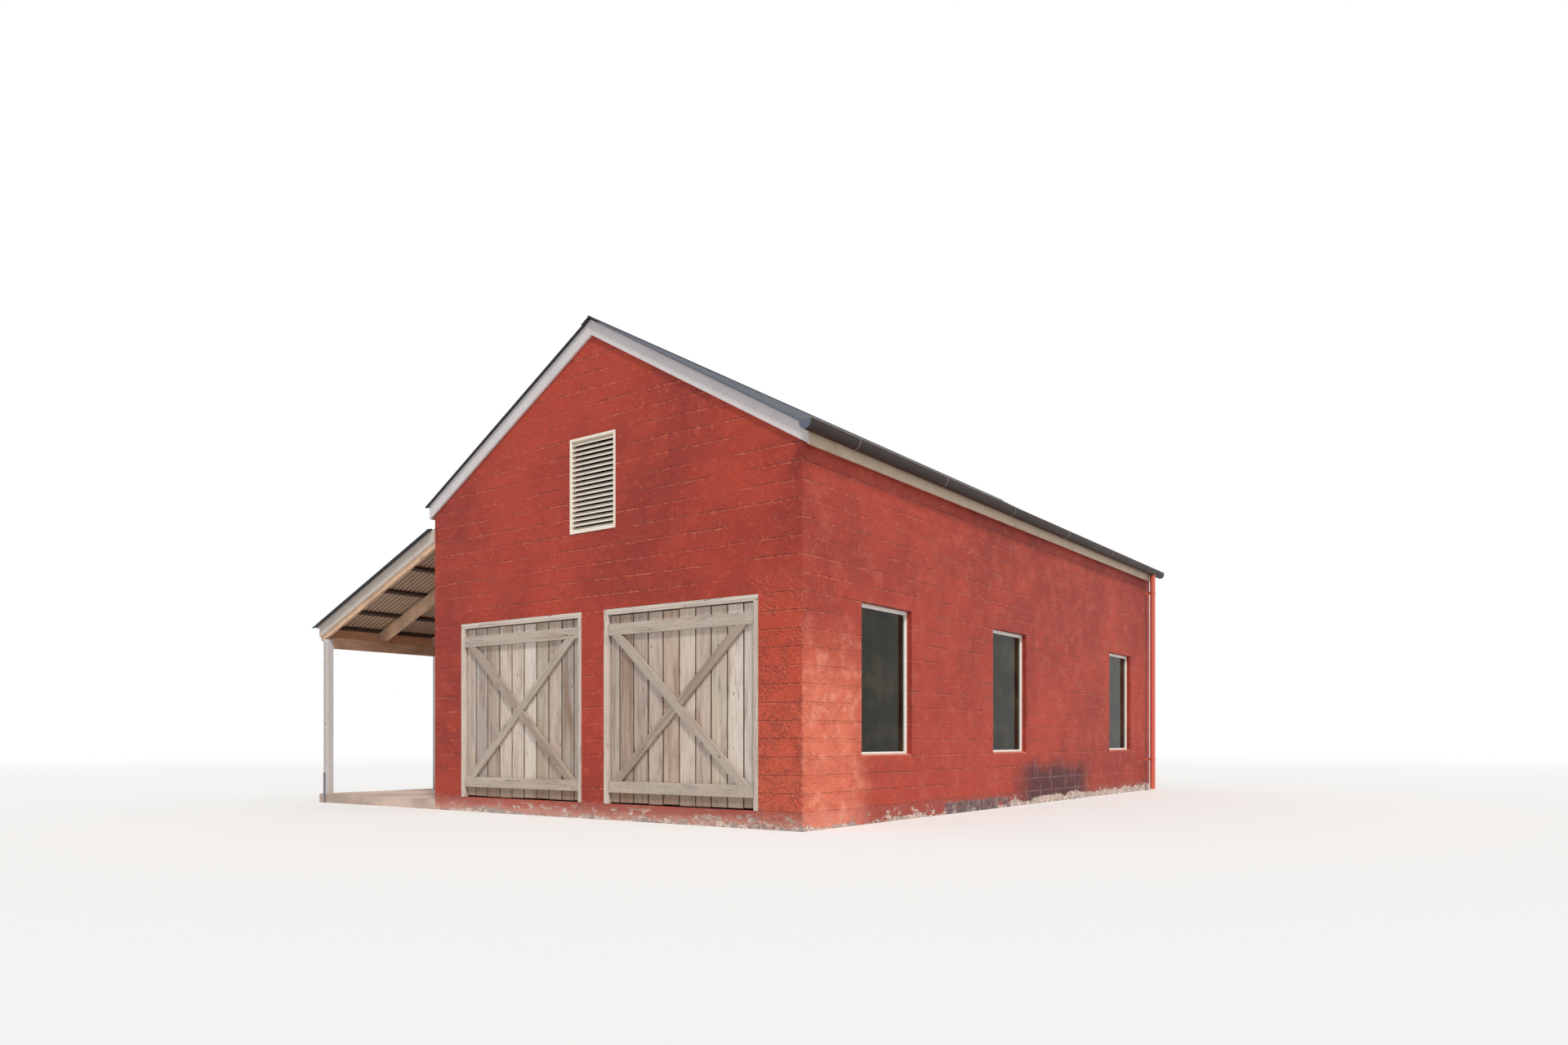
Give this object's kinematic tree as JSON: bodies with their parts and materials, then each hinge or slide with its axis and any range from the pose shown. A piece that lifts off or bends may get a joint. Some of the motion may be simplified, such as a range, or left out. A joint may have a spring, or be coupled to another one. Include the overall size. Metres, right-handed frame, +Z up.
{
  "type": "barn",
  "caption": "Painted block barn with a steep corrugated roof, two braced board doors, side windows, gable vents and a lean-to awning.",
  "frame": {"origin": "middle of the whole outline, at the base", "axes": "+Z up; the front gable with the doors faces -Y; the window wall with the gutter faces +X and the awning faces -X"},
  "size_m": [9.6754, 12.58, 6.2731],
  "materials": {
    "red_block": "rough painted block",
    "concrete": "rough",
    "grey_timber": "weathered",
    "raw_timber": "rough sawn",
    "cream_timber": "painted",
    "dark_timber": "stained",
    "cream_metal": "satin",
    "white_metal": "gloss",
    "roof_metal": "satin",
    "gutter_metal": "satin",
    "grey_plastic": "matt",
    "beige_metal": "satin",
    "red_metal": "matt",
    "steel": "dull",
    "glass": "clear"
  },
  "bodies": {
    "barn": {"front_plinth": "red_block", "front_pier_left": "red_block", "front_pier_centre": "red_block", "front_pier_right": "red_block", "front_gable_wall": "red_block", "right_wall": "red_block", "left_wall": "red_block", "rear_wall": "red_block", "floor_slab": "concrete", "door_frames": "grey_timber", "hinge_pins": "steel", "window_frames": "white_metal", "window_glass": "glass", "window_sills": "red_block", "gable_vents": "cream_metal", "roof_sheet_right": "roof_metal", "roof_sheet_left": "roof_metal", "ridge_cap": "roof_metal", "ridge_board": "raw_timber", "rafters": "raw_timber", "purlins": "raw_timber", "wall_plates": "raw_timber", "barge_front": "cream_timber", "barge_rear": "cream_timber", "eave_fascias": "cream_timber", "gutter": "gutter_metal", "gutter_brackets": "gutter_metal", "downpipe": "red_metal", "awning_slab": "concrete", "awning_posts": "cream_timber", "post_conduit": "grey_plastic", "awning_beam": "cream_timber", "awning_rafters": "cream_timber", "awning_battens": "dark_timber", "awning_sheet": "beige_metal", "awning_barges": "cream_timber", "awning_fascia": "cream_timber", "awning_ledger": "cream_timber", "awning_flashing": "cream_metal"},
    "left_leaf": {"left_door_boards": "grey_timber", "left_door_braces": "grey_timber", "left_door_straps": "steel"},
    "right_leaf": {"right_door_boards": "grey_timber", "right_door_braces": "grey_timber", "right_door_straps": "steel"}
  },
  "joints": [
    {"name": "left_leaf_hinge", "type": "hinge", "parent": "barn", "child": "left_leaf", "pos_m": [-1.12632, -6.017, 1.2], "axis": [0, 0, 1], "range_deg": [0, 90]},
    {"name": "right_leaf_hinge", "type": "hinge", "parent": "barn", "child": "right_leaf", "pos_m": [3.92368, -6.017, 1.2], "axis": [0, 0, -1], "range_deg": [0, 90]}
  ]
}
